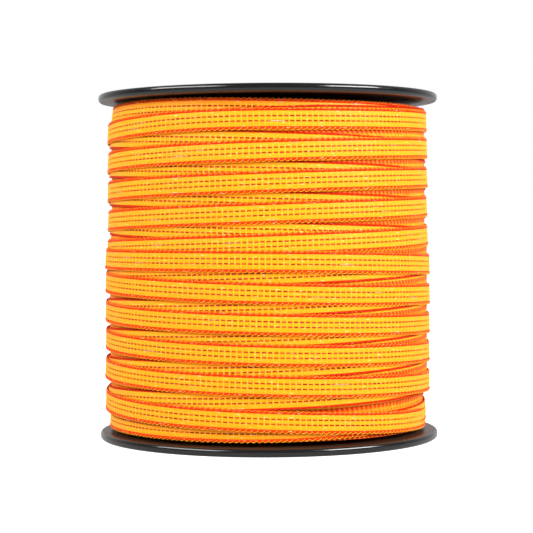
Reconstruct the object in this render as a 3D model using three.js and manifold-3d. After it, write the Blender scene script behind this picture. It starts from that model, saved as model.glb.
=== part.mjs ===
// A spool of electric fence tape, standing upright on one flange, in millimetres.
// The origin is at the middle of the bottom rim's underside, +Z runs up the spool's axis,
// and -Y is the side that is seen from the front.

import * as THREE from "three";
import { mergeVertices } from "three/addons/utils/BufferGeometryUtils.js";
import Module from "manifold-3d";

// Spool
const spoolHeight = 162;
const flangeDiameter = 160;
const rimHeight = 3.8;
const rimWidth = 4.2;
const rimCornerRadius = 1.5;
const webThickness = 2.2;
const hubDiameter = 44;
const boreDiameter = 30;

// Core tube and the flange rings that plug into it
const coreDiameter = 100;
const coreWall = 2.5;
const spigotWall = 2.2;
const spigotDepth = 9;
const seatClearance = 0.3;

// Tape as it is wound
const tapeWidth = 10;
const turnGap = 3.5;
const woundDepth = 22.7;
const upperTurnStand = 2.1;
const outerTurnStand = 3.1;
const bottomTurnStand = 1.3;
const turnTilt = 0.8;
const topSlump = 2;
const bottomEndGap = 1.8;
const topEndGap = 2.7;
const outerLayerTop = 96.6;
const layerOverlap = 6;
const endRidges = 5;
const endRidgeDepth = 0.5;

// How finely round faces are divided
const spoolSegments = 48;
const rollSegments = 36;
const cornerSteps = 3;

// Where the steps of the two wound layers fall between those of the roll's body, as shares of a step
const outerStepShift = 0.4;
const upperStepShift = 0.25;

const flangeRadius = flangeDiameter / 2;
const boreRadius = boreDiameter / 2;
const hubRadius = hubDiameter / 2;
const coreRadius = coreDiameter / 2;
const coreBoreRadius = coreRadius - coreWall;
const spigotRadius = coreBoreRadius - seatClearance;
const rollBoreRadius = coreRadius + seatClearance;
const rollRadius = rollBoreRadius + woundDepth;
const rollBottom = rimHeight + bottomEndGap;
const rollTop = spoolHeight - rimHeight - topEndGap;
const turnPitch = tapeWidth + turnGap;
const fullTurn = 2 * Math.PI;
const backAngle = Math.PI;

const wasm = await Module();
wasm.setup();

// Turns a closed outline of [radius, height] points round the Z axis.
function turned(outline, segments) {
  const points = outline.map(([radius, height]) => new THREE.Vector2(radius, height));
  points.push(points[0].clone());
  return new THREE.LatheGeometry(points, segments).rotateX(Math.PI / 2);
}

// A quarter round about a centre, as [radius, height] points.
function quarterRound(centreRadius, centreHeight, cornerRadius, startAngle) {
  const points = [];
  for (let step = 0; step <= cornerSteps; step += 1) {
    const angle = startAngle + (step / cornerSteps) * (Math.PI / 2);
    points.push([
      centreRadius + cornerRadius * Math.cos(angle),
      centreHeight + cornerRadius * Math.sin(angle),
    ]);
  }
  return points;
}

// Makes a closed geometry into a solid that can be joined to others.
function solidOf(geometry) {
  const bare = geometry.clone();
  bare.deleteAttribute("normal");
  bare.deleteAttribute("uv");
  const merged = mergeVertices(bare, 1e-4);
  return new wasm.Manifold(
    new wasm.Mesh({
      numProp: 3,
      vertProperties: merged.attributes.position.array,
      triVerts: new Uint32Array(merged.index.array),
    }),
  );
}

// Makes a solid back into a geometry.
function geometryOf(solid) {
  const mesh = solid.getMesh();
  const geometry = new THREE.BufferGeometry();
  geometry.setAttribute("position", new THREE.BufferAttribute(mesh.vertProperties, 3));
  geometry.setIndex(new THREE.BufferAttribute(mesh.triVerts, 1));
  geometry.computeVertexNormals();
  return geometry;
}

// One moulded flange with its outer face down: a thin web between a rounded rim and a hub ring,
// and on its inner face the ring that plugs into the core tube.
function flangeGeometry() {
  const webFace = rimHeight - webThickness;
  const rimInside = flangeRadius - rimWidth;
  const cornerCentre = flangeRadius - rimCornerRadius;
  const spigotInside = spigotRadius - spigotWall;
  const outline = [
    [boreRadius, rimHeight],
    [boreRadius, 0],
    [hubRadius, 0],
    [hubRadius, webFace],
    [rimInside, webFace],
    [rimInside, 0],
    ...quarterRound(cornerCentre, rimCornerRadius, rimCornerRadius, -Math.PI / 2),
    ...quarterRound(cornerCentre, rimHeight - rimCornerRadius, rimCornerRadius, 0),
    [spigotRadius, rimHeight],
    [spigotRadius, rimHeight + spigotDepth],
    [spigotInside, rimHeight + spigotDepth],
    [spigotInside, rimHeight],
  ];
  return turned(outline, spoolSegments);
}

// The plain tube that the tape is wound on, between the two flanges.
function coreTubeGeometry() {
  const bottom = rimHeight + seatClearance;
  const top = spoolHeight - rimHeight - seatClearance;
  const outline = [
    [coreBoreRadius, bottom],
    [coreRadius, bottom],
    [coreRadius, top],
    [coreBoreRadius, top],
  ];
  return turned(outline, spoolSegments);
}

// The stacked edges of the turns on one end of the roll, as points from the bore outwards.
function endOutline(endHeight, inward) {
  const points = [];
  const ridgeWidth = woundDepth / endRidges;
  for (let ridge = 0; ridge < endRidges; ridge += 1) {
    const start = rollBoreRadius + ridge * ridgeWidth;
    points.push([start, endHeight + inward * endRidgeDepth]);
    points.push([start + ridgeWidth / 2, endHeight]);
  }
  return points;
}

// The turned body of the roll, with its lowest turn standing proud and its top edge slumped in.
function rollBody() {
  const bottomTurnRadius = rollRadius + bottomTurnStand;
  const bottomTurnTop = rollBottom + tapeWidth;
  const outline = [
    ...endOutline(rollBottom, 1),
    [bottomTurnRadius, rollBottom],
    [bottomTurnRadius, bottomTurnTop],
    [rollRadius, bottomTurnTop],
    [rollRadius, rollTop - tapeWidth],
    [rollRadius - topSlump, rollTop],
    ...endOutline(rollTop, -1).reverse(),
  ];
  return solidOf(turned(outline, rollSegments));
}

// A stretch of tape bent round the roll in a helix that starts at the back, from one height to
// another at its middle line. Its inner side is sunk into the roll's body, and its steps fall
// between those of the body. Direction 1 climbs to the right as seen from the front, -1 to the left.
function tapeStrip({ fromHeight, toHeight, direction, stepShift, stand, tilt }) {
  const steps = Math.round(((toHeight - fromHeight) / turnPitch) * rollSegments);
  const strip = new THREE.BoxGeometry(steps, 1, 1, steps);
  const position = strip.attributes.position;
  const sunkRadius = rollRadius - stand / 2;
  for (let index = 0; index < position.count; index += 1) {
    const along = position.getX(index) + steps / 2 + stepShift;
    const isOuterFace = position.getY(index) > 0;
    const across = -direction * position.getZ(index);
    const radius = isOuterFace ? rollRadius + stand - tilt * across : sunkRadius;
    const angle = backAngle + (direction * along * fullTurn) / rollSegments;
    const height = fromHeight + (along / rollSegments) * turnPitch + across * tapeWidth;
    position.setXYZ(index, radius * Math.sin(angle), -radius * Math.cos(angle), height);
  }
  return solidOf(strip);
}

// The roll of tape: its body, the layer that shows on the upper part,
// and the unfinished outermost layer over the lower part.
function tapeRollGeometry() {
  const lowestMiddle = rollBottom + tapeWidth / 2;
  const highestMiddle = rollTop - tapeWidth / 2;
  const outerLayer = tapeStrip({
    fromHeight: lowestMiddle,
    toHeight: outerLayerTop - tapeWidth / 2,
    direction: -1,
    stepShift: outerStepShift,
    stand: outerTurnStand,
    tilt: 0,
  });
  const upperLayer = tapeStrip({
    fromHeight: outerLayerTop - tapeWidth / 2 - layerOverlap,
    toHeight: highestMiddle,
    direction: 1,
    stepShift: upperStepShift,
    stand: upperTurnStand,
    tilt: turnTilt,
  });
  return geometryOf(rollBody().add(upperLayer).add(outerLayer));
}

const blackPlastic = { color: 0x1a1a1c, roughness: 0.22, metalness: 0 };
const greyPlastic = { color: 0x2c2c2e, roughness: 0.45, metalness: 0 };
const wovenTape = { color: 0xf7a51c, roughness: 0.55, metalness: 0 };

// A named piece with a material of its own.
function piece(name, geometry, finish) {
  const mesh = new THREE.Mesh(geometry, new THREE.MeshStandardMaterial(finish));
  mesh.name = name;
  return mesh;
}

const fenceTapeSpool = new THREE.Group();

const flangeBottom = piece("flange_bottom", flangeGeometry(), blackPlastic);
fenceTapeSpool.add(flangeBottom);

const flangeTop = piece("flange_top", flangeGeometry(), blackPlastic);
flangeTop.position.z = spoolHeight;
flangeTop.rotation.x = Math.PI;
fenceTapeSpool.add(flangeTop);

fenceTapeSpool.add(piece("core_tube", coreTubeGeometry(), greyPlastic));
fenceTapeSpool.add(piece("tape_roll", tapeRollGeometry(), wovenTape));

export default fenceTapeSpool;
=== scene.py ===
"""Dresses a spool of woven electric fence tape: its moulded flanges, its core, the wound tape
with every yarn of the visible layers, the stage and the camera. Lengths are in metres."""

import math

import bmesh
import bpy
import numpy as np
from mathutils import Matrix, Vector


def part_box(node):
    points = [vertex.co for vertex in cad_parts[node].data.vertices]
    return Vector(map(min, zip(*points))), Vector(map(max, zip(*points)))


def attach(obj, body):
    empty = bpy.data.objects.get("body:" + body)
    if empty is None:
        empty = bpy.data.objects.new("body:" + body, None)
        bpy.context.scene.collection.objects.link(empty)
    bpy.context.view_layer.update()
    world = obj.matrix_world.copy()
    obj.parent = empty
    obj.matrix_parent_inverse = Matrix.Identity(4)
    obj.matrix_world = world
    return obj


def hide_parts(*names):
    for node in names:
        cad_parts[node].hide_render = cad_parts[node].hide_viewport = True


bl_info = {
    "name": "Electric Fence Tape Spool",
    "version": (1, 0, 0),
    "blender": (4, 5, 0),
    "location": "View3D > Sidebar > Fence Tape",
    "description": "Builds a spool of woven electric fence tape, yarn by yarn",
    "category": "Add Mesh",
}

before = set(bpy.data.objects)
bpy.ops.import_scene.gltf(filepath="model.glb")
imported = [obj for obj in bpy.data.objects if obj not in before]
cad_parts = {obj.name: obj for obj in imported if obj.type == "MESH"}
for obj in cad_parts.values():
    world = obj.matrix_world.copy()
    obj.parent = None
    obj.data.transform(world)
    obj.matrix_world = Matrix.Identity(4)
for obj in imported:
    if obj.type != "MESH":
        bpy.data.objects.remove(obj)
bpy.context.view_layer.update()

MM = 0.001
FULL_TURN = 2 * math.pi

FLANGE_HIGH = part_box("flange_bottom")[1]
CORE_LOW, CORE_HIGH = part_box("core_tube")
ROLL_LOW, ROLL_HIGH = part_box("tape_roll")
SPOOL_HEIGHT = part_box("flange_top")[1][2]

FLANGE_RADIUS = FLANGE_HIGH[0]
SEAT_CLEARANCE = 0.3 * MM
RIM_HEIGHT = CORE_LOW[2] - SEAT_CLEARANCE
SPIGOT_TOP = FLANGE_HIGH[2]
CORE_RADIUS = CORE_HIGH[0]
ROLL_BORE_RADIUS = CORE_RADIUS + SEAT_CLEARANCE

# The moulded spool, where the frame's boxes don't give a size
RIM_WIDTH = 4.2 * MM
WEB_THICKNESS = 2.2 * MM
HUB_RADIUS = 22 * MM
BORE_RADIUS = 15 * MM
CORE_WALL = 2.5 * MM
SPIGOT_WALL = 2.2 * MM

# How finely the mouldings and the ring of hidden turns are divided round the axis
SPIN_STEPS = 160
HIDDEN_SPIN_STEPS = 72

# The woven tape across its width: 0 is its middle line and the upper edge is positive
TAPE_HALF_WIDTH = 5 * MM
UPPER_CORD_MIDDLE = 4.05 * MM
LOWER_CORD_MIDDLE = -4.05 * MM
UPPER_HOLES_MIDDLE = 1.15 * MM
LOWER_HOLES_MIDDLE = -1.05 * MM
HOLE_ROW_WIDTH = 0.56 * MM
BAND_LIMITS = (
    (UPPER_HOLES_MIDDLE + HOLE_ROW_WIDTH / 2, 3.6 * MM),
    (LOWER_HOLES_MIDDLE + HOLE_ROW_WIDTH / 2, UPPER_HOLES_MIDDLE - HOLE_ROW_WIDTH / 2),
    (-3.45 * MM, LOWER_HOLES_MIDDLE - HOLE_ROW_WIDTH / 2),
)
BAND_HEIGHT = 0.42 * MM
WIRE_PLACES = (3.3 * MM, UPPER_HOLES_MIDDLE, LOWER_HOLES_MIDDLE, -3.2 * MM)
WIRE_RADIUS = 0.09 * MM

# How much narrower and lower a band is where a weft presses on it
BAND_NARROWING = 0.05
BAND_PRESS = 0.22

# Where the wefts start to go down under the edge cords, how soon they are down,
# and how far they reach past the middle of the lower one
WEFT_DIVE_FROM = 3.3 * MM
WEFT_DIVE_LENGTH = 0.7 * MM
WEFT_REACH = 0.3 * MM
WEFT_HALF_HEIGHT = 0.13 * MM

# The dark strips of painted shade at the bottom of the hole rows: how far they reach under the
# bands on both sides, the height of their middle, and half of their thickness
SHADE_STRIP_REACH = 0.1 * MM
SHADE_STRIP_LEVEL = 0.1 * MM
SHADE_STRIP_HALF_HEIGHT = 0.06 * MM

# How far a steel wire wanders to each side, and the cells in one round of its wandering and
# of its coming up over the bands
WIRE_WANDER = 0.15 * MM
WANDER_CELLS = 9
SURFACING_CELLS = 4

# The sides of the thin yarns and wires, and how boxy the section of a thick one is, where 1 is round
THIN_YARN_SIDES = 3
BOXY_POWER = 0.8

# The section of a band, as (share of its half width, share of its height) points
ROUNDED_SECTION = ((0.94, 0.82), (0.0, 1.0), (-0.94, 0.82), (-1.0, 0.0), (1.0, 0.0))
FLAT_SECTION = ((0.95, 0.9), (-0.95, 0.9), (-1.0, 0.0), (1.0, 0.0))

# Edges of the bands that turn by more than this stay crisp
CREASE_ANGLE = math.radians(50)

# How far the beads of the edge cords lean along the tape, for each length across it
CORD_SLANT = 0.7

# The grooves between the beads: how sharp they are, how far they draw in the cord's sides,
# and how far the beads crowd towards them
GROOVE_SHARPNESS = 3
GROOVE_NARROWING = 0.7
BEAD_CROWDING = 0.1

# How the tape lies on the roll. A turn number grows as the tape was wound, and a whole number
# is a pass across the front. Each point is (turn number, value in millimetres).
WOUND_HEIGHTS = (
    (-11.4, 12.2), (-3.0, 124.4), (-2.0, 136.9), (-1.3, 149.0), (-1.17, 150.1), (-1.05, 150.5),
    (-1.0, 151.1), (-0.9, 152.3), (-0.83, 152.1), (-0.79, 151.4), (-0.7, 150.8), (-0.4, 150.6),
    (-0.3, 149.8), (-0.21, 148.5), (-0.15, 147.9), (-0.07, 146.9), (0.055, 146.9), (0.116, 145.9),
    (0.183, 144.2), (1.0, 133.0), (3.0, 105.9), (9.0, 24.4), (9.95, 11.2), (10.03, 10.5),
    (10.2, 10.7), (10.65, 10.7), (10.8, 10.6), (10.85, 11.0), (10.885, 12.4), (10.93, 13.5),
    (11.0, 15.4), (12.0, 30.8), (15.0, 70.9), (15.95, 84.4), (16.06, 85.2), (16.27, 85.0),
    (16.4, 88.0), (16.62, 93.5),
)
WOUND_RADII = (
    (-11.4, 72.6), (-10.9, 73.0), (-10.4, 75.0), (-10.0, 75.2), (-5.2, 75.2), (-4.8, 74.3),
    (-1.6, 74.2), (-1.35, 72.8), (-1.0, 73.2), (-0.6, 73.1), (-0.4, 73.6), (-0.25, 74.7),
    (0.2, 75.1), (3.4, 75.1), (3.9, 75.5), (9.2, 75.5), (9.6, 74.9), (9.9, 74.2),
    (10.35, 74.3), (10.78, 74.4), (10.9, 75.4), (11.1, 76.4), (16.2, 76.4), (16.46, 75.8),
    (16.62, 75.2),
)
WOUND_TILTS = (
    (-11.4, 0.3), (-1.4, 0.4), (-1.0, 1.3), (-0.35, 1.4), (-0.25, 0.2), (0.1, 0.4),
    (9.0, 0.5), (11.0, 0.2), (16.1, 0.2), (16.45, 1.5), (16.62, 0.8),
)
ROLL_MEAN_RADIUS = 75 * MM
TURN_LENGTH = FULL_TURN * ROLL_MEAN_RADIUS

# A listed value is averaged over this many places, up to this part of a turn to each side
EASE_STEPS = 5
EASE_REACH = 0.05

# The stretches of the tape, from one turn number to another
OUTER_FROM = 9.9
OUTER_TO = 16.62
UPPER_FROM = -1.3
UPPER_TO = 4.3
CROSSING_FROM = -11.2

# A short stretch near the top: how much higher it lies than the turn in front of it, how deep
# it lies behind that turn, and the part of a turn over which it comes down level with it
STACKED_FROM = -0.45
STACKED_TO = 0.05
STACKED_RAISE = 1.5 * MM
STACKED_SINK = 0.8 * MM
STACKED_EASE = 0.1

# How far the tape's edges droop, how uneven the winding is, and how far it stands to the side
# at the bottom and at the top
EDGE_DROOP = 0.35 * MM
HEIGHT_WAVE = 0.1 * MM
TILT_WAVE = 0.2 * MM
RADIUS_WAVE = 0.1 * MM
WINDING_SHIFT = (-0.65 * MM, -0.1 * MM)

# The slow unevenness is a sum of this many waves, each at a rate drawn between these two,
# and a gain that brings the sum to about its stated size
WAVE_COUNT = 5
SLOWEST_RATE = 0.4
QUICKEST_RATE = 3.2
WAVE_GAIN = 1.8

# The hidden turns: their pitch, the height of their lowest edge, and the beads of their cords
# as an angle for each turn and a lean for each pitch
HIDDEN_PITCH = 13.57 * MM
HIDDEN_EDGE_HEIGHT = 5.78 * MM
BEAD_ANGLE = 181 * FULL_TURN
BEAD_SLANT = 2 * FULL_TURN

# How red a hidden turn is, as (share of the pitch, redness) points
HIDDEN_REDNESS = (
    (0.0, 0.8), (0.06, 0.3), (0.16, 1.0), (0.24, 1.0), (0.27, 0.0), (0.75, 0.0), (0.78, 1.0), (0.87, 0.4),
)

# How far the camera stands to the side of the spool's axis
CAMERA_SIDESTEP = -0.78 * MM

# The lamps, as (name, place, width, height, power in watts, whether glossy faces mirror it)
SOFTBOXES = (
    ("left_softbox", (-0.95, -0.55, 0.8), 1.1, 0.5, 20.0, True),
    ("right_softbox", (0.97, -0.55, 0.7), 0.8, 0.35, 25.0, True),
    ("front_fill", (0.0, -1.6, 0.9), 1.2, 0.8, 16.0, False),
)


def spool_props():
    """The settings of the spool in the scene."""
    return bpy.context.scene.fence_spool


def tape_props():
    """The settings of the tape in the scene."""
    return bpy.context.scene.fence_tape


def stage_props():
    """The settings of the stage in the scene."""
    return bpy.context.scene.fence_stage


class FenceSpoolSettings(bpy.types.PropertyGroup):
    """Sizes and colours of the moulded spool."""

    corner_radius: bpy.props.FloatProperty(
        name="Rim Corner Radius",
        description="Rounding of the flange rim's outer corners",
        default=1.5 * MM,
        min=0.2 * MM,
        max=1.8 * MM,
        unit="LENGTH",
    )
    edge_break: bpy.props.FloatProperty(
        name="Edge Rounding",
        description="Small rounding of the mouldings' other edges",
        default=0.35 * MM,
        min=0.05 * MM,
        max=0.8 * MM,
        unit="LENGTH",
    )
    plastic_color: bpy.props.FloatVectorProperty(
        name="Plastic Colour",
        description="Colour of the glossy flange plastic",
        subtype="COLOR",
        size=4,
        default=(0.0065, 0.0065, 0.0072, 1.0),
        min=0.0,
        max=1.0,
    )


class FenceTapeSettings(bpy.types.PropertyGroup):
    """Sizes and colours of the woven tape."""

    pick_spacing: bpy.props.FloatProperty(
        name="Weft Spacing",
        description="Distance from one weft yarn to the next along the tape",
        default=2.6 * MM,
        min=1.5 * MM,
        max=5 * MM,
        unit="LENGTH",
    )
    weft_width: bpy.props.FloatProperty(
        name="Weft Width",
        description="Width of one weft yarn",
        default=1.0 * MM,
        min=0.2 * MM,
        max=1.5 * MM,
        unit="LENGTH",
    )
    yellow: bpy.props.FloatVectorProperty(
        name="Yellow Yarn",
        description="Colour of the yellow warp bands and wefts",
        subtype="COLOR",
        size=4,
        default=(0.94, 0.345, 0.005, 1.0),
        min=0.0,
        max=1.0,
    )
    red: bpy.props.FloatVectorProperty(
        name="Red Yarn",
        description="Colour of the red-orange edge cords",
        subtype="COLOR",
        size=4,
        default=(0.7, 0.02, 0.002, 1.0),
        min=0.0,
        max=1.0,
    )
    seed: bpy.props.IntProperty(
        name="Seed",
        description="Seed of the small unevenness of the winding",
        default=7,
        min=0,
    )


class FenceStageSettings(bpy.types.PropertyGroup):
    """Camera and light of the stage."""

    camera_distance: bpy.props.FloatProperty(
        name="Camera Distance",
        description="Distance from the camera to the spool's axis",
        default=844.7 * MM,
        min=0.2,
        max=5.0,
        unit="LENGTH",
    )
    camera_height: bpy.props.FloatProperty(
        name="Camera Height",
        description="Height of the camera over the floor",
        default=103.2 * MM,
        min=0.0,
        max=2.0,
        unit="LENGTH",
    )
    camera_pitch: bpy.props.FloatProperty(
        name="Camera Pitch",
        description="How far the camera looks down",
        default=math.radians(1.525),
        min=-0.5,
        max=1.0,
        subtype="ANGLE",
    )
    camera_roll: bpy.props.FloatProperty(
        name="Camera Roll",
        description="How far the camera leans to its right",
        default=math.radians(0.27),
        min=-0.5,
        max=0.5,
        subtype="ANGLE",
    )
    lens: bpy.props.FloatProperty(
        name="Lens",
        description="Focal length on a 36 mm wide sensor, in millimetres",
        default=119.9,
        min=20.0,
        max=300.0,
    )


# Node trees


def shader_group(name, inputs, outputs):
    """A new shader node group, with its input and output nodes. Sockets are (name, type, default)."""
    group = bpy.data.node_groups.new(name, "ShaderNodeTree")
    for socket_name, socket_type, default in inputs:
        socket = group.interface.new_socket(socket_name, in_out="INPUT", socket_type=socket_type)
        socket.default_value = default
    for socket_name, socket_type in outputs:
        group.interface.new_socket(socket_name, in_out="OUTPUT", socket_type=socket_type)
    return group, group.nodes.new("NodeGroupInput"), group.nodes.new("NodeGroupOutput")


def add_math(tree, operation, first, second=None):
    """A math node. Its inputs are sockets or plain numbers."""
    node = tree.nodes.new("ShaderNodeMath")
    node.operation = operation
    for slot, value in enumerate((first, second)):
        if value is None:
            continue
        if isinstance(value, bpy.types.NodeSocket):
            tree.links.new(value, node.inputs[slot])
        else:
            node.inputs[slot].default_value = value
    return node.outputs[0]


def add_mix(tree, factor, first, second, blend="MIX"):
    """A colour mix node. Its inputs are sockets or plain values."""
    node = tree.nodes.new("ShaderNodeMix")
    node.data_type = "RGBA"
    node.blend_type = blend
    for socket, value in ((node.inputs[0], factor), (node.inputs[6], first), (node.inputs[7], second)):
        if isinstance(value, bpy.types.NodeSocket):
            tree.links.new(value, socket)
        else:
            socket.default_value = value
    return node.outputs[2]


def add_noise(tree, vector, scale, detail=2.0, roughness=0.5):
    """A noise texture's value on a vector socket."""
    node = tree.nodes.new("ShaderNodeTexNoise")
    node.inputs["Scale"].default_value = scale
    node.inputs["Detail"].default_value = detail
    node.inputs["Roughness"].default_value = roughness
    tree.links.new(vector, node.inputs["Vector"])
    return node.outputs["Fac"]


def add_range(tree, value, low, high, to_low, to_high):
    """Maps a value from one range to another and clamps it."""
    node = tree.nodes.new("ShaderNodeMapRange")
    for slot, number in enumerate((low, high, to_low, to_high), start=1):
        node.inputs[slot].default_value = number
    tree.links.new(value, node.inputs[0])
    return node.outputs[0]


def add_mapping(tree, vector, scale, location=(0.0, 0.0, 0.0)):
    """A mapping node that scales and shifts a vector."""
    node = tree.nodes.new("ShaderNodeMapping")
    node.inputs["Location"].default_value = location
    node.inputs["Scale"].default_value = scale
    tree.links.new(vector, node.inputs["Vector"])
    return node.outputs[0]


def filament_group():
    """Fine filaments that run along the tape: a streak value, a slow patch value and a height."""
    group, given, made = shader_group(
        "yarn_filaments",
        [
            ("Vector", "NodeSocketVector", (0.0, 0.0, 0.0)),
            ("Filaments Per Millimetre", "NodeSocketFloat", 5.0),
        ],
        [
            ("Streak", "NodeSocketFloat"),
            ("Patch", "NodeSocketFloat"),
            ("Height", "NodeSocketFloat"),
        ],
    )
    stretched = add_mapping(group, given.outputs["Vector"], (0.035, 1.0, 1.0))
    scaled = group.nodes.new("ShaderNodeVectorMath")
    scaled.operation = "SCALE"
    group.links.new(stretched, scaled.inputs[0])
    group.links.new(given.outputs["Filaments Per Millimetre"], scaled.inputs["Scale"])
    streak = add_noise(group, scaled.outputs[0], 1.0, 3.0, 0.6)
    patch = add_noise(group, add_mapping(group, given.outputs["Vector"], (0.12, 0.5, 1.0)), 1.0, 2.0)
    swell = add_math(group, "MULTIPLY", patch, 0.3)
    group.links.new(streak, made.inputs["Streak"])
    group.links.new(patch, made.inputs["Patch"])
    group.links.new(add_math(group, "ADD", streak, swell), made.inputs["Height"])
    return group


def scuff_group():
    """Fine scuffs that fan out from the spool's axis, and a slow mottling of the gloss."""
    group, given, made = shader_group(
        "radial_scuffs",
        [("Vector", "NodeSocketVector", (0.0, 0.0, 0.0)), ("Scuffs Round Rim", "NodeSocketFloat", 90.0)],
        [("Scuff", "NodeSocketFloat"), ("Mottle", "NodeSocketFloat"), ("Height", "NodeSocketFloat")],
    )
    parts = group.nodes.new("ShaderNodeSeparateXYZ")
    group.links.new(given.outputs["Vector"], parts.inputs[0])
    angle = add_math(group, "ARCTAN2", parts.outputs["Y"], parts.outputs["X"])
    turned = add_math(group, "MULTIPLY", angle, given.outputs["Scuffs Round Rim"])
    radius = group.nodes.new("ShaderNodeVectorMath")
    radius.operation = "LENGTH"
    group.links.new(given.outputs["Vector"], radius.inputs[0])
    polar = group.nodes.new("ShaderNodeCombineXYZ")
    group.links.new(turned, polar.inputs["X"])
    group.links.new(add_math(group, "MULTIPLY", radius.outputs["Value"], 160.0), polar.inputs["Y"])
    group.links.new(add_math(group, "MULTIPLY", parts.outputs["Z"], 500.0), polar.inputs["Z"])
    fine = add_noise(group, polar.outputs[0], 1.0, 4.0, 0.7)
    mottle = add_noise(group, given.outputs["Vector"], 60.0, 3.0)
    group.links.new(add_range(group, fine, 0.58, 0.8, 0.0, 1.0), made.inputs["Scuff"])
    group.links.new(mottle, made.inputs["Mottle"])
    group.links.new(add_math(group, "ADD", fine, mottle), made.inputs["Height"])
    return group


def node_group(name, maker):
    """A node group that is built once and then shared."""
    return bpy.data.node_groups.get(name) or maker()


def new_material(name, base_color, roughness, **settings):
    """A material with a Principled shader, its plain numbers set on the shader's own sockets."""
    material = bpy.data.materials.new(name)
    material.use_nodes = True
    shader = material.node_tree.nodes["Principled BSDF"]
    shader.inputs["Base Color"].default_value = base_color
    shader.inputs["Roughness"].default_value = roughness
    for socket_name, value in settings.items():
        shader.inputs[socket_name.replace("_", " ")].default_value = value
    material.diffuse_color = base_color
    return material, material.node_tree, shader


def add_bump(tree, shader, height, strength, distance):
    """Feeds a height to the shader's normal."""
    bump = tree.nodes.new("ShaderNodeBump")
    bump.inputs["Strength"].default_value = strength
    bump.inputs["Distance"].default_value = distance
    tree.links.new(height, bump.inputs["Height"])
    tree.links.new(bump.outputs[0], shader.inputs["Normal"])


def tape_vector(tree):
    """The place along and across the tape in millimetres, from its own UV map."""
    place = tree.nodes.new("ShaderNodeUVMap")
    place.uv_map = "tape"
    return place.outputs[0]


def painted_shade_value(tree):
    """The painted shade of a point, from 0 at the top of the weave to 1 deep in it."""
    painted_shade = tree.nodes.new("ShaderNodeAttribute")
    painted_shade.attribute_name = "painted_shade"
    return painted_shade.outputs["Fac"]


def yarn_material(name, base_color, painted_shade_color, streak_color, filaments, roughness, shine):
    """A yarn of fine plastic filaments with streaks, painted shade that darkens it down in the weave, and a
    few short pale painted glints.
    """
    material, tree, shader = new_material(name, base_color, roughness, Specular_IOR_Level=shine)
    threads = tree.nodes.new("ShaderNodeGroup")
    threads.node_tree = node_group("yarn_filaments", filament_group)
    threads.inputs["Filaments Per Millimetre"].default_value = filaments
    place = tape_vector(tree)
    tree.links.new(place, threads.inputs["Vector"])
    streaks = add_range(tree, threads.outputs["Streak"], 0.35, 0.7, 0.0, 1.0)
    patches = add_range(tree, threads.outputs["Patch"], 0.3, 0.7, 0.0, 0.5)
    color = add_mix(tree, streaks, base_color, streak_color)
    color = add_mix(tree, patches, color, streak_color)
    # Painted glints: a few short pale highlights mixed into the colour
    glint_noise = add_noise(tree, add_mapping(tree, place, (0.35, 1.7, 1.0), (3.0, 8.0, 0.0)), 1.0, 1.0)
    painted_glint = add_range(tree, glint_noise, 0.66, 0.74, 0.0, 0.6)
    color = add_mix(tree, painted_glint, color, (1.0, 0.72, 0.35, 1))
    # Painted shade: the colour turns towards the shade colour where the weave lies deeper
    color = add_mix(tree, painted_shade_value(tree), color, painted_shade_color)
    tree.links.new(color, shader.inputs["Base Color"])
    rough = add_range(tree, threads.outputs["Streak"], 0.3, 0.7, roughness - 0.08, roughness + 0.1)
    tree.links.new(rough, shader.inputs["Roughness"])
    add_bump(tree, shader, threads.outputs["Height"], 0.35, 0.08 * MM)
    return material


def band_material():
    """The flat yellow warp bands."""
    return yarn_material(
        "yellow_warp_yarn",
        tuple(tape_props().yellow),
        painted_shade_color=(0.9, 0.25, 0.004, 1),
        streak_color=(0.93, 0.26, 0.004, 1),
        filaments=2.4,
        roughness=0.45,
        shine=0.16,
    )


def weft_material():
    """The brighter yellow yarns that cross the bands."""
    return yarn_material(
        "yellow_weft_yarn",
        (0.95, 0.40, 0.007, 1),
        painted_shade_color=(0.9, 0.24, 0.004, 1),
        streak_color=(0.95, 0.36, 0.006, 1),
        filaments=4.0,
        roughness=0.35,
        shine=0.25,
    )


def cord_material():
    """The red-orange cords of both edges."""
    return yarn_material(
        "red_edge_yarn",
        tuple(tape_props().red),
        painted_shade_color=(0.38, 0.007, 0.002, 1),
        streak_color=(0.82, 0.042, 0.003, 1),
        filaments=3.0,
        roughness=0.5,
        shine=0.06,
    )


def shade_strip_material():
    """Dark strips at the bottom of the hole rows, painted shade seen through the holes: red-brown to near
    black, with pale orange stretches.
    """
    material, tree, shader = new_material("painted_shade_strip", (0.5, 0.06, 0.01, 1), 0.6)
    place = tape_vector(tree)
    slow = add_noise(tree, add_mapping(tree, place, (0.22, 0.6, 1.0)), 1.0, 2.0)
    quick = add_noise(tree, add_mapping(tree, place, (0.5, 0.9, 1.0), (7.0, 3.0, 0.0)), 1.0, 1.0)
    brownness = add_range(tree, slow, 0.3, 0.55, 0.0, 1.0)
    darkness = add_range(tree, quick, 0.5, 0.7, 0.0, 1.0)
    color = add_mix(tree, brownness, (0.85, 0.14, 0.008, 1), (0.4, 0.015, 0.005, 1))
    color = add_mix(tree, darkness, color, (0.2, 0.012, 0.008, 1))
    tree.links.new(color, shader.inputs["Base Color"])
    return material


def wire_material():
    """Drawn stainless steel wire."""
    material, tree, shader = new_material("stainless_wire", (0.9, 0.88, 0.84, 1), 0.5, Metallic=1.0)
    grain = add_noise(tree, add_mapping(tree, tape_vector(tree), (0.5, 3.0, 1.0)), 1.0, 3.0)
    color = add_mix(tree, grain, (0.8, 0.78, 0.74, 1), (0.98, 0.97, 0.95, 1))
    tree.links.new(color, shader.inputs["Base Color"])
    tree.links.new(add_range(tree, grain, 0.2, 0.8, 0.42, 0.6), shader.inputs["Roughness"])
    return material


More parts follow.
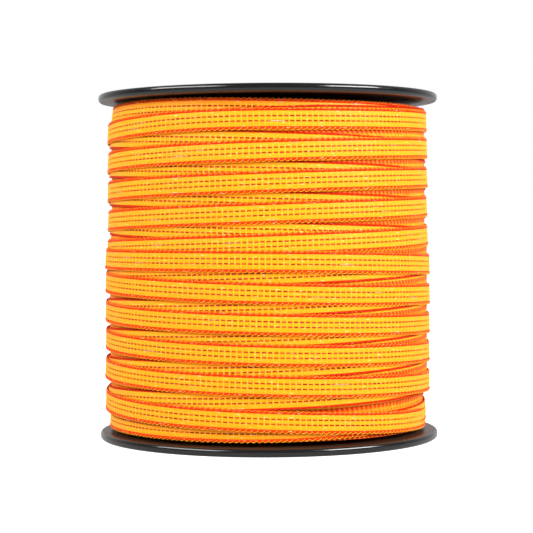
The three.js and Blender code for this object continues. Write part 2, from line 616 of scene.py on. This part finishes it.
def inner_turns_material():
    """The hidden turns under the modelled yarns, as slanting yellow bands with beaded red edges."""
    material, tree, shader = new_material("hidden_turns", (0.9, 0.3, 0.01, 1), 0.7, Specular_IOR_Level=0.15)
    place = tree.nodes.new("ShaderNodeTexCoord").outputs["Object"]
    parts = tree.nodes.new("ShaderNodeSeparateXYZ")
    tree.links.new(place, parts.inputs[0])
    patch = add_noise(tree, place, 260.0, 3.0)
    angle = add_math(tree, "ARCTAN2", parts.outputs["Y"], parts.outputs["X"])
    climb = add_math(tree, "DIVIDE", angle, FULL_TURN)
    above = add_math(tree, "SUBTRACT", parts.outputs["Z"], HIDDEN_EDGE_HEIGHT)
    turns = add_math(tree, "SUBTRACT", add_math(tree, "DIVIDE", above, HIDDEN_PITCH), climb)
    turns = add_math(tree, "ADD", turns, add_math(tree, "MULTIPLY", patch, 0.03))
    share = add_math(tree, "FRACT", turns)
    edges = tree.nodes.new("ShaderNodeValToRGB")
    edges.color_ramp.interpolation = "EASE"
    ramp = edges.color_ramp.elements
    while len(ramp) < len(HIDDEN_REDNESS):
        ramp.new(0.5)
    for stop, (position, value) in zip(ramp, HIDDEN_REDNESS):
        stop.position = position
        stop.color = (value, value, value, 1)
    tree.links.new(share, edges.inputs[0])
    orangeness = add_range(tree, patch, 0.35, 0.7, 0.0, 1.0)
    yellow = add_mix(tree, orangeness, (0.95, 0.40, 0.008, 1), (0.95, 0.24, 0.006, 1))
    around = add_math(tree, "MULTIPLY", climb, BEAD_ANGLE)
    slant = add_math(tree, "MULTIPLY", share, BEAD_SLANT)
    beads = add_math(tree, "SINE", add_math(tree, "ADD", around, slant))
    reds = add_math(tree, "MULTIPLY", edges.outputs[0], add_range(tree, beads, -0.5, 0.5, 0.55, 1.0))
    color = add_mix(tree, reds, yellow, (0.7, 0.025, 0.003, 1))
    tree.links.new(color, shader.inputs["Base Color"])
    add_bump(tree, shader, add_math(tree, "ADD", edges.outputs[0], patch), 0.6, 0.2 * MM)
    return material


def plastic_material(name, color, roughness, scuffs):
    """Moulded plastic with faint scuffs that fan out from the axis, duller beside the tape and browner
    there with a painted reflection of the tape.
    """
    material, tree, shader = new_material(name, color, roughness, Specular_IOR_Level=0.5)
    place = tree.nodes.new("ShaderNodeTexCoord").outputs["Object"]
    wear = tree.nodes.new("ShaderNodeGroup")
    wear.node_tree = node_group("radial_scuffs", scuff_group)
    wear.inputs["Scuffs Round Rim"].default_value = scuffs
    tree.links.new(place, wear.inputs["Vector"])
    pale = tuple(min(1.0, channel * 4 + 0.01) for channel in color[:3]) + (1.0,)
    worn = add_math(tree, "MULTIPLY", wear.outputs["Scuff"], 0.5)
    rough = add_math(tree, "ADD", add_math(tree, "MULTIPLY", wear.outputs["Scuff"], 0.25), roughness)
    parts = tree.nodes.new("ShaderNodeSeparateXYZ")
    tree.links.new(place, parts.inputs[0])
    height = add_math(tree, "ABSOLUTE", add_math(tree, "SUBTRACT", parts.outputs["Z"], SPOOL_HEIGHT / 2))
    inner_face = SPOOL_HEIGHT / 2 - RIM_HEIGHT
    matt_and_painted_reflection = add_range(tree, height, inner_face + 0.05 * MM, inner_face + 0.3 * MM, 1.0, 0.0)
    rough = add_math(tree, "ADD", rough, add_math(tree, "MULTIPLY", matt_and_painted_reflection, 0.2))
    tree.links.new(rough, shader.inputs["Roughness"])
    # Painted reflection: beside the tape the colour turns brown, like the tape's reflection in the inner
    # face
    base = add_mix(tree, matt_and_painted_reflection, color, (0.03, 0.013, 0.007, 1))
    tree.links.new(add_mix(tree, worn, base, pale), shader.inputs["Base Color"])
    add_bump(tree, shader, wear.outputs["Height"], 0.08, 0.1 * MM)
    return material


# Meshes


def finish_piece(name, mesh, material, slot, *nodes):
    """Puts a finished mesh in the scene as a smooth piece that stands for the named nodes."""
    mesh.materials.clear()
    mesh.materials.append(material)
    mesh.polygons.foreach_set("use_smooth", np.ones(len(mesh.polygons), dtype=bool))
    piece = bpy.data.objects.new(name, mesh)
    bpy.context.scene.collection.objects.link(piece)
    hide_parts(*nodes)
    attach(piece, "root")


def rounded_outline(corners, steps=4):
    """A closed outline of (radius, height) points from (radius, height, rounding) corners."""
    outline = []
    count = len(corners)
    for index, (radius, height, rounding) in enumerate(corners):
        corner = Vector((radius, height))
        if rounding <= 0:
            outline.append(corner)
            continue
        before = (Vector(corners[index - 1][:2]) - corner).normalized()
        after = (Vector(corners[(index + 1) % count][:2]) - corner).normalized()
        half_angle = before.angle(after) / 2
        reach = rounding / math.tan(half_angle)
        centre = corner + (before + after).normalized() * (rounding / math.sin(half_angle))
        start = corner + before * reach - centre
        end = corner + after * reach - centre
        sweep = start.angle_signed(end)
        for step in range(steps + 1):
            angle = -sweep * step / steps
            turned = Vector(
                (
                    start.x * math.cos(angle) - start.y * math.sin(angle),
                    start.x * math.sin(angle) + start.y * math.cos(angle),
                )
            )
            outline.append(centre + turned)
    return outline


def spun_mesh(name, outline, steps=SPIN_STEPS):
    """Spins a closed outline of (radius, height) points round the spool's axis."""
    bm = bmesh.new()
    verts = [bm.verts.new((radius, 0.0, height)) for radius, height in outline]
    edges = [bm.edges.new((verts[index - 1], verts[index])) for index in range(len(verts))]
    bmesh.ops.spin(
        bm,
        geom=verts + edges,
        cent=(0, 0, 0),
        axis=(0, 0, 1),
        dvec=(0, 0, 0),
        angle=FULL_TURN,
        steps=steps,
        use_merge=True,
        use_duplicate=False,
    )
    bmesh.ops.remove_doubles(bm, verts=bm.verts, dist=1e-7)
    bmesh.ops.recalc_face_normals(bm, faces=bm.faces)
    mesh = bpy.data.meshes.new(name)
    bm.to_mesh(mesh)
    bm.free()
    return mesh


def flange_outline():
    """The section of the lower flange, with its outer face down."""
    props = spool_props()
    small = props.edge_break
    web_face = RIM_HEIGHT - WEB_THICKNESS
    rim_inside = FLANGE_RADIUS - RIM_WIDTH
    spigot_radius = CORE_RADIUS - CORE_WALL - SEAT_CLEARANCE
    spigot_inside = spigot_radius - SPIGOT_WALL
    return rounded_outline(
        [
            (BORE_RADIUS, RIM_HEIGHT, small),
            (BORE_RADIUS, 0.0, small),
            (HUB_RADIUS, 0.0, small),
            (HUB_RADIUS, web_face, small),
            (rim_inside, web_face, small),
            (rim_inside, 0.0, small),
            (FLANGE_RADIUS, 0.0, props.corner_radius),
            (FLANGE_RADIUS, RIM_HEIGHT, props.corner_radius),
            (spigot_radius, RIM_HEIGHT, small),
            (spigot_radius, SPIGOT_TOP, small),
            (spigot_inside, SPIGOT_TOP, small),
            (spigot_inside, RIM_HEIGHT, small),
        ]
    )


def path_value(points, turn):
    """A listed value along the tape, in metres, eased over its bends."""
    places, values = zip(*points)
    eased = np.zeros_like(turn)
    for offset in np.linspace(-EASE_REACH, EASE_REACH, EASE_STEPS):
        eased += np.interp(turn + offset, places, values)
    return eased / EASE_STEPS * MM


def slow_wave(turn, seed, size):
    """A seeded smooth unevenness along the tape, up to about the given size."""
    rng = np.random.default_rng(seed)
    wave = np.zeros_like(turn)
    for _ in range(WAVE_COUNT):
        rate = rng.uniform(SLOWEST_RATE, QUICKEST_RATE)
        wave += np.sin(turn * rate * FULL_TURN + rng.uniform(0, FULL_TURN)) / WAVE_COUNT
    return wave * size * WAVE_GAIN


def lay_on_roll(mesh, last_turn, raised=0.0, sunk=0.0):
    """Bends a mesh that lies flat as (along, across, outward) round the roll, as the tape was wound.

    A stretch that lies raised and sunk under another turn comes back to that turn at its last end."""
    flat = np.empty(len(mesh.vertices) * 3, dtype=np.float32)
    mesh.vertices.foreach_get("co", flat)
    flat = flat.reshape(-1, 3).astype(np.float64)
    corners = np.empty(len(mesh.loops), dtype=np.int32)
    mesh.loops.foreach_get("vertex_index", corners)
    place = mesh.uv_layers.new(name="tape")
    place.data.foreach_set("uv", (flat[corners, :2] / MM).astype(np.float32).ravel())
    along, across, outward = flat.T
    seed = tape_props().seed
    turn = last_turn - along / TURN_LENGTH
    angle = -turn * FULL_TURN
    height = path_value(WOUND_HEIGHTS, turn) + slow_wave(turn, seed, HEIGHT_WAVE)
    tilt = path_value(WOUND_TILTS, turn) + slow_wave(turn, seed + 1, TILT_WAVE)
    radius = path_value(WOUND_RADII, turn) + slow_wave(turn, seed + 2, RADIUS_WAVE) - sunk
    height += raised * np.clip((last_turn - turn) / STACKED_EASE, 0, 1)
    share = across / TAPE_HALF_WIDTH
    radius += outward - tilt * share / 2 - EDGE_DROOP * share**4
    height = height + across
    shift = np.interp(height, (0.0, SPOOL_HEIGHT), WINDING_SHIFT)
    wound = np.stack([radius * np.sin(angle) + shift, -radius * np.cos(angle), height], axis=1)
    mesh.vertices.foreach_set("co", wound.astype(np.float32).ravel())
    mesh.update()


def flat_yarn(name, length, rings, sides, shape):
    """A closed yarn that lies flat: shape gives (along, across, outward, shade) for each ring and side.

    The shade is painted shade, from 0 to 1, greater where a point lies deeper in the weave, and is kept as
    an attribute."""
    bm = bmesh.new()
    bmesh.ops.create_grid(bm, x_segments=rings, y_segments=sides, size=0.5)
    mesh = bpy.data.meshes.new(name)
    bm.to_mesh(mesh)
    bm.free()
    grid = np.empty(len(mesh.vertices) * 3, dtype=np.float32)
    mesh.vertices.foreach_get("co", grid)
    grid = grid.reshape(-1, 3).astype(np.float64)
    distance = (grid[:, 0] + 0.5) * length
    side = np.round((grid[:, 1] + 0.5) * sides) % sides
    along, across, outward, painted_shade = shape(distance, side / sides * FULL_TURN)
    flat = np.stack([along, across, outward], axis=1)
    mesh.vertices.foreach_set("co", flat.astype(np.float32).ravel())
    shade_layer = mesh.attributes.new("painted_shade", "FLOAT", "POINT")
    shade_layer.data.foreach_set("value", np.clip(painted_shade, 0, 1).astype(np.float32))
    bm = bmesh.new()
    bm.from_mesh(mesh)
    bmesh.ops.remove_doubles(bm, verts=bm.verts, dist=1e-7)
    rims = [edge for edge in bm.edges if edge.is_boundary]
    bmesh.ops.holes_fill(bm, edges=rims, sides=0)
    bmesh.ops.recalc_face_normals(bm, faces=bm.faces)
    bm.to_mesh(mesh)
    bm.free()
    return mesh


def joined_mesh(name, meshes):
    """Joins several meshes into one and removes the separate ones."""
    bm = bmesh.new()
    for mesh in meshes:
        bm.from_mesh(mesh)
    joined = bpy.data.meshes.new(name)
    bm.to_mesh(joined)
    bm.free()
    for mesh in meshes:
        bpy.data.meshes.remove(mesh)
    return joined


def repeated_mesh(mesh, count, spacing):
    """Repeats a flat mesh along the tape with an array."""
    carrier = bpy.data.objects.new(mesh.name, mesh)
    bpy.context.scene.collection.objects.link(carrier)
    array = carrier.modifiers.new("picks", "ARRAY")
    array.count = count
    array.use_relative_offset = False
    array.use_constant_offset = True
    array.constant_offset_displace = (spacing, 0, 0)
    graph = bpy.context.evaluated_depsgraph_get()
    repeated = bpy.data.meshes.new_from_object(carrier.evaluated_get(graph))
    bpy.data.objects.remove(carrier)
    bpy.data.meshes.remove(mesh)
    return repeated


def squared(value, power):
    """A sine or cosine flattened towards a box, with its sign kept."""
    return np.sign(value) * np.abs(value) ** power


def band_yarn(low, high, cells, spacing, rings, section):
    """One flat warp band, pressed down where each weft crosses it."""
    middle = (low + high) / 2
    half_width = (high - low) / 2
    widths, heights = np.array(section).T

    def shape(distance, angle):
        corner = np.round(angle / FULL_TURN * len(section)).astype(int) % len(section)
        press = 0.5 + 0.5 * np.cos(distance / spacing * FULL_TURN)
        across = middle + half_width * widths[corner] * (1 - BAND_NARROWING * press)
        outward = BAND_HEIGHT * heights[corner] * (1 - BAND_PRESS * press)
        # Painted shade: the band's sides and underside darker than its top
        painted_shade = 0.4 - 0.5 * heights[corner]
        return distance, across, outward, painted_shade

    return flat_yarn("band", cells * spacing, cells * rings, len(section), shape)


def edge_cord(middle, cells, spacing, half_width, height, groove, rings, sides):
    """One edge cord: slanting beads, one for each weft, with narrow grooves between them."""

    def shape(distance, angle):
        cell = np.floor(distance / spacing + 0.01)
        phase = distance / spacing - cell
        dip = (0.5 + 0.5 * np.cos(phase * FULL_TURN)) ** GROOVE_SHARPNESS
        eased = phase - BEAD_CROWDING * np.sin(phase * FULL_TURN)
        side = half_width * np.cos(angle) * (1 - GROOVE_NARROWING * groove * dip)
        along = (cell + eased) * spacing + CORD_SLANT * side
        outward = height * (0.5 + 0.5 * squared(np.sin(angle), BOXY_POWER)) * (1 - groove * dip)
        # Painted shade: darker underneath and much darker in the grooves between the beads
        painted_shade = 0.25 - 0.35 * np.sin(angle) + 1.8 * dip
        return along, middle + side, outward, painted_shade

    return flat_yarn("cord", cells * spacing, cells * rings, sides, shape)


def arch_yarn(foot, rise, radius, base_height, lean, power, cells, spacing, rings):
    """A thin yarn that runs along an edge in small slanting arches, pointed where the power is high."""

    def shape(distance, angle):
        swing = np.abs(np.sin(distance / spacing * math.pi)) ** power
        across = foot + rise * swing + radius * np.cos(angle)
        along = distance + CORD_SLANT * rise * (swing - 0.5)
        outward = base_height - lean * swing + radius * np.sin(angle)
        # The last value is painted shade, darker on the yarn's underside
        return along, across, outward, 0.3 - 0.35 * np.sin(angle)

    return flat_yarn("arches", cells * spacing, cells * rings, THIN_YARN_SIDES, shape)


def weft_yarns(cells, spacing, steps):
    """The yarns that cross the bands, one for each cell, and go down under both edge cords."""
    upper = UPPER_CORD_MIDDLE
    lower = LOWER_CORD_MIDDLE - WEFT_REACH
    half_width = tape_props().weft_width / 2

    def shape(distance, angle):
        across = upper - distance
        angle = angle + math.pi / 2
        along = half_width * np.cos(angle)
        under_cord = np.clip((np.abs(across) - WEFT_DIVE_FROM) / WEFT_DIVE_LENGTH, 0, 1)
        base = BAND_HEIGHT * (0.7 - 0.6 * under_cord)
        outward = base + WEFT_HALF_HEIGHT * squared(np.sin(angle), BOXY_POWER)
        # The last value is painted shade, darker underneath and where the weft goes down under the cords
        return along, across, outward, 0.1 - 0.3 * np.sin(angle) + 0.5 * under_cord

    yarn = flat_yarn("weft", upper - lower, steps, THIN_YARN_SIDES, shape)
    return repeated_mesh(yarn, cells, spacing)


def wire_yarn(middle, cells, spacing, seed):
    """One thin steel wire that wanders in its row and comes up over the bands in places."""

    def shape(distance, angle):
        wander = slow_wave(distance / (WANDER_CELLS * spacing), seed, 1.0)
        swell = slow_wave(distance / (SURFACING_CELLS * spacing), seed + 5, 1.0)
        surfacing = np.clip(4 * swell - 3.6, 0, 1)
        across = middle + WIRE_WANDER * wander + WIRE_RADIUS * np.cos(angle)
        lift = BAND_HEIGHT * (1.15 * surfacing - 0.1)
        return distance, across, lift + WIRE_RADIUS * np.sin(angle), np.zeros_like(distance)

    return flat_yarn("wire", cells * spacing, cells // 2, THIN_YARN_SIDES, shape)


def shade_strip_yarn(middle, cells, spacing):
    """A dark strip of painted shade at the bottom of a hole row, seen through its holes."""
    half_width = HOLE_ROW_WIDTH / 2 + SHADE_STRIP_REACH

    def shape(distance, angle):
        across = middle + half_width * np.cos(angle)
        outward = SHADE_STRIP_LEVEL + SHADE_STRIP_HALF_HEIGHT * np.sin(angle)
        return distance, across, outward, np.zeros_like(distance)

    return flat_yarn("shade_strip_yarn", cells * spacing, cells // 2, THIN_YARN_SIDES, shape)


def detailed_yarns(cells, spacing):
    """The yarns of a stretch that shows, as lists of flat meshes by their material."""
    bands = [band_yarn(low, high, cells, spacing, 2, ROUNDED_SECTION) for low, high in BAND_LIMITS]
    upper_arches = arch_yarn(
        foot=4.0 * MM,
        rise=0.8 * MM,
        radius=0.13 * MM,
        base_height=0.5 * MM,
        lean=0.15 * MM,
        power=0.8,
        cells=cells,
        spacing=spacing,
        rings=4,
    )
    lower_arches = arch_yarn(
        foot=-3.9 * MM,
        rise=-0.95 * MM,
        radius=0.24 * MM,
        base_height=0.5 * MM,
        lean=0.1 * MM,
        power=0.5,
        cells=cells,
        spacing=spacing,
        rings=5,
    )
    red_arches = arch_yarn(
        foot=4.1 * MM,
        rise=0.85 * MM,
        radius=0.2 * MM,
        base_height=0.36 * MM,
        lean=0.1 * MM,
        power=1.3,
        cells=cells,
        spacing=spacing,
        rings=4,
    )
    upper_cord = edge_cord(
        UPPER_CORD_MIDDLE - 0.1 * MM,
        cells,
        spacing,
        half_width=0.6 * MM,
        height=0.6 * MM,
        groove=0.5,
        rings=4,
        sides=5,
    )
    lower_cord = edge_cord(
        LOWER_CORD_MIDDLE,
        cells,
        spacing,
        half_width=0.7 * MM,
        height=0.7 * MM,
        groove=0.7,
        rings=6,
        sides=6,
    )
    wefts = [weft_yarns(cells, spacing, steps=5), upper_arches, lower_arches]
    cords = [upper_cord, lower_cord, red_arches]
    rows = [shade_strip_yarn(middle, cells, spacing) for middle in (UPPER_HOLES_MIDDLE, LOWER_HOLES_MIDDLE)]
    return bands, wefts, cords, rows


def simple_yarns(cells, spacing):
    """The yarns of a stretch that other turns mostly cover, as lists of flat meshes by their material."""
    bands = [band_yarn(low, high, cells, spacing, 1, FLAT_SECTION) for low, high in BAND_LIMITS]
    wefts = [weft_yarns(cells, spacing, steps=3)]
    cords = [
        edge_cord(middle, cells, spacing, half_width, height, groove=0.4, rings=2, sides=3)
        for middle, half_width, height in (
            (UPPER_CORD_MIDDLE, 0.6 * MM, 0.55 * MM),
            (LOWER_CORD_MIDDLE, 0.64 * MM, 0.62 * MM),
        )
    ]
    rows = [shade_strip_yarn(middle, cells, spacing) for middle in (UPPER_HOLES_MIDDLE, LOWER_HOLES_MIDDLE)]
    return bands, wefts, cords, rows


def build_stretch(name, first_turn, last_turn, yarns, materials, raised=0.0, sunk=0.0):
    """Builds the yarns of a stretch of the tape: bands, wefts, edge cords and the dark strips of painted
    shade in the hole rows, each kind a piece.
    """
    spacing = tape_props().pick_spacing
    cells = round((last_turn - first_turn) * TURN_LENGTH / spacing)
    kinds = ("bands", "wefts", "edges", "rows")
    for kind, material, meshes in zip(kinds, materials, yarns(cells, spacing)):
        mesh = joined_mesh(f"{name}_{kind}", meshes)
        lay_on_roll(mesh, last_turn, raised, sunk)
        if kind == "bands":
            mesh.set_sharp_from_angle(angle=CREASE_ANGLE)
        finish_piece(mesh.name, mesh, material, "woven_tape", "tape_roll")


class FENCE_OT_flanges(bpy.types.Operator):
    """Builds the two glossy moulded flanges"""

    bl_idname = "fence.flanges"
    bl_label = "Build Flanges"

    def execute(self, context):
        color = tuple(spool_props().plastic_color)
        plastic = plastic_material("glossy_black_plastic", color, 0.16, 90.0)
        lower = spun_mesh("lower_flange", flange_outline())
        upper = lower.copy()
        bm = bmesh.new()
        bm.from_mesh(upper)
        bmesh.ops.scale(bm, verts=bm.verts, vec=(1, 1, -1))
        bmesh.ops.translate(bm, verts=bm.verts, vec=(0, 0, SPOOL_HEIGHT))
        bmesh.ops.recalc_face_normals(bm, faces=bm.faces)
        bm.to_mesh(upper)
        bm.free()
        finish_piece("lower_flange", lower, plastic, "flange_plastic", "flange_bottom")
        finish_piece("upper_flange", upper, plastic, "flange_plastic", "flange_top")
        return {"FINISHED"}


class FENCE_OT_core(bpy.types.Operator):
    """Builds the core tube and the hidden turns that are wound on it"""

    bl_idname = "fence.core"
    bl_label = "Build Core"

    def execute(self, context):
        small = spool_props().edge_break
        tube = rounded_outline(
            [
                (CORE_RADIUS - CORE_WALL, CORE_LOW[2], small),
                (CORE_RADIUS, CORE_LOW[2], small),
                (CORE_RADIUS, CORE_HIGH[2], small),
                (CORE_RADIUS - CORE_WALL, CORE_HIGH[2], small),
            ],
            3,
        )
        tube.reverse()
        plastic = plastic_material("matt_black_plastic", (0.02, 0.02, 0.022, 1), 0.45, 40.0)
        mesh = spun_mesh("core_tube_moulding", tube)
        finish_piece("core_tube_moulding", mesh, plastic, "core_plastic", "core_tube")
        self.build_inner_turns()
        return {"FINISHED"}

    def build_inner_turns(self):
        """A ring of hidden turns, its ends ridged by the edges of the layers."""
        bottom_layers = 24
        top_layers = 21
        ridge_from, ridge_to, ridge_depth = 0.3, 0.7, 0.35 * MM
        low = ROLL_LOW[2] + 0.4 * MM
        high = ROLL_HIGH[2] - 0.6 * MM
        lean, lean_top = 73.0 * MM, low + 13 * MM
        stout, stout_bottom, stout_top = 75.1 * MM, low + 20 * MM, 92 * MM
        plain, plain_bottom, plain_top = 74.0 * MM, 99 * MM, high - 12.5 * MM
        slump_bend = (plain - 0.4 * MM, high - 9.5 * MM)
        slump_end = (plain - 2.3 * MM, high - ridge_depth)
        width = (plain - ROLL_BORE_RADIUS) / bottom_layers
        outline = []
        for layer in range(bottom_layers):
            start = ROLL_BORE_RADIUS + layer * width
            outline += [
                (start, low + ridge_depth),
                (start + width * ridge_from, low),
                (start + width * ridge_to, low),
            ]
        outline += [
            (lean, low + ridge_depth),
            (lean, lean_top),
            (stout, stout_bottom),
            (stout, stout_top),
            (plain, plain_bottom),
            (plain, plain_top),
            slump_bend,
            slump_end,
        ]
        for layer in reversed(range(top_layers)):
            start = ROLL_BORE_RADIUS + layer * width
            outline += [
                (start + width * ridge_to, high),
                (start + width * ridge_from, high),
                (start, high - ridge_depth),
            ]
        mesh = spun_mesh("inner_turns", outline, HIDDEN_SPIN_STEPS)
        finish_piece("inner_turns", mesh, inner_turns_material(), "woven_tape", "tape_roll")


class FENCE_OT_tape(bpy.types.Operator):
    """Builds the yarns of the tape's visible layers, wound on the roll"""

    bl_idname = "fence.tape"
    bl_label = "Build Tape"

    def execute(self, context):
        materials = (band_material(), weft_material(), cord_material(), shade_strip_material())
        build_stretch("outer_turns", OUTER_FROM, OUTER_TO, detailed_yarns, materials)
        build_stretch("upper_turns", UPPER_FROM, UPPER_TO, detailed_yarns, materials)
        build_stretch("covered_turns", UPPER_TO, OUTER_FROM, simple_yarns, materials)
        build_stretch("crossing_turns", CROSSING_FROM, UPPER_FROM, simple_yarns, materials)
        build_stretch(
            "stacked_turn",
            STACKED_FROM,
            STACKED_TO,
            simple_yarns,
            materials,
            raised=STACKED_RAISE,
            sunk=STACKED_SINK,
        )
        return {"FINISHED"}


class FENCE_OT_wires(bpy.types.Operator):
    """Builds the stainless steel wires that are woven into the tape"""

    bl_idname = "fence.wires"
    bl_label = "Build Wires"

    def execute(self, context):
        steel = wire_material()
        spacing = tape_props().pick_spacing
        stretches = (("outer_wires", OUTER_FROM, OUTER_TO), ("upper_wires", UPPER_FROM, UPPER_TO))
        for name, first_turn, last_turn in stretches:
            cells = round((last_turn - first_turn) * TURN_LENGTH / spacing)
            wires = [
                wire_yarn(place, cells, spacing, tape_props().seed + 10 * index)
                for index, place in enumerate(WIRE_PLACES)
            ]
            mesh = joined_mesh(name, wires)
            lay_on_roll(mesh, last_turn)
            finish_piece(name, mesh, steel, "woven_tape", "tape_roll")
        return {"FINISHED"}


class FENCE_OT_stage(bpy.types.Operator):
    """Builds the pale floor, the studio light and the camera"""

    bl_idname = "fence.stage"
    bl_label = "Build Stage"

    def execute(self, context):
        self.build_floor()
        self.build_lights()
        self.build_camera(context)
        return {"FINISHED"}

    def build_floor(self):
        """A large pale floor under the spool, white to the camera and a soft light from below."""
        bm = bmesh.new()
        bmesh.ops.create_grid(bm, x_segments=1, y_segments=1, size=6.0)
        mesh = bpy.data.meshes.new("floor")
        bm.to_mesh(mesh)
        bm.free()
        material, tree, shader = new_material("pale_floor", (0.3, 0.3, 0.3, 1), 0.8, Specular_IOR_Level=0.1)
        shader.inputs["Emission Color"].default_value = (1, 1, 1, 1)
        seen = tree.nodes.new("ShaderNodeLightPath").outputs["Is Camera Ray"]
        tree.links.new(add_range(tree, seen, 0.0, 1.0, 0.3, 1.0), shader.inputs["Emission Strength"])
        mesh.materials.append(material)
        floor = bpy.data.objects.new("floor", mesh)
        bpy.context.scene.collection.objects.link(floor)

    def add_softbox(self, name, place, width, height, power, mirrored):
        """A rectangular area light aimed at the spool's middle, mirrored in glossy faces or not."""
        light = bpy.data.lights.new(name, "AREA")
        light.shape = "RECTANGLE"
        light.size = width
        light.size_y = height
        light.energy = power
        lamp = bpy.data.objects.new(name, light)
        bpy.context.scene.collection.objects.link(lamp)
        lamp.visible_camera = False
        lamp.visible_glossy = mirrored
        lamp.location = place
        middle = Vector((0, 0, SPOOL_HEIGHT / 2))
        lamp.rotation_euler = (middle - Vector(place)).to_track_quat("-Z", "Y").to_euler()

    def build_lights(self):
        """A surround that is white behind and dim in front, two softboxes and a fill from the front."""
        world = bpy.data.worlds.new("studio_surround")
        world.use_nodes = True
        tree = world.node_tree
        background = tree.nodes["Background"]
        place = tree.nodes.new("ShaderNodeTexCoord").outputs["Generated"]
        parts = tree.nodes.new("ShaderNodeSeparateXYZ")
        tree.links.new(place, parts.inputs[0])
        rays = tree.nodes.new("ShaderNodeLightPath")
        lit = add_range(tree, parts.outputs["Y"], -0.1, 0.6, 0.2, 1.0)
        mirrored = add_range(tree, parts.outputs["Y"], 0.1, 0.9, 0.1, 0.7)
        shade = add_mix(tree, rays.outputs["Is Glossy Ray"], lit, mirrored)
        seen = add_mix(tree, rays.outputs["Is Camera Ray"], shade, (1.0, 1.0, 1.0, 1))
        tree.links.new(seen, background.inputs["Color"])
        bpy.context.scene.world = world
        for softbox in SOFTBOXES:
            self.add_softbox(*softbox)

    def build_camera(self, context):
        """The camera at the photograph's viewing angle."""
        props = stage_props()
        lens = bpy.data.cameras.new("camera")
        lens.sensor_width = 36.0
        lens.lens = props.lens
        lens.clip_start = 0.05
        lens.clip_end = 50.0
        camera = bpy.data.objects.new("camera", lens)
        context.scene.collection.objects.link(camera)
        camera.location = (CAMERA_SIDESTEP, -props.camera_distance, props.camera_height)
        camera.rotation_euler = (math.pi / 2 - props.camera_pitch, props.camera_roll, 0)
        context.scene.camera = camera
        context.scene.view_settings.view_transform = "Standard"


class FENCE_PT_panel(bpy.types.Panel):
    """Lists the steps that build the spool and its tape"""

    bl_idname = "FENCE_PT_panel"
    bl_label = "Fence Tape"
    bl_space_type = "VIEW_3D"
    bl_region_type = "UI"
    bl_category = "Fence Tape"

    def draw(self, context):
        for operator in OPERATORS:
            self.layout.operator(operator.bl_idname)
        for props in (spool_props(), tape_props(), stage_props()):
            box = self.layout.box()
            for name in props.__annotations__:
                box.prop(props, name)


SETTINGS = (
    ("fence_spool", FenceSpoolSettings),
    ("fence_tape", FenceTapeSettings),
    ("fence_stage", FenceStageSettings),
)
OPERATORS = (FENCE_OT_stage, FENCE_OT_flanges, FENCE_OT_core, FENCE_OT_tape, FENCE_OT_wires)


def register():
    """Registers the settings, the operators and the panel."""
    for name, settings in SETTINGS:
        bpy.utils.register_class(settings)
        setattr(bpy.types.Scene, name, bpy.props.PointerProperty(type=settings))
    for part in OPERATORS + (FENCE_PT_panel,):
        bpy.utils.register_class(part)


def unregister():
    """Takes the panel, the operators and the settings out again."""
    for part in reversed(OPERATORS + (FENCE_PT_panel,)):
        bpy.utils.unregister_class(part)
    for name, settings in reversed(SETTINGS):
        delattr(bpy.types.Scene, name)
        bpy.utils.unregister_class(settings)


def main():
    """Builds everything in order."""
    register()
    bpy.ops.fence.stage()
    bpy.ops.fence.flanges()
    bpy.ops.fence.core()
    bpy.ops.fence.tape()
    bpy.ops.fence.wires()
    bpy.context.view_layer.update()


if __name__ == "__main__":
    main()
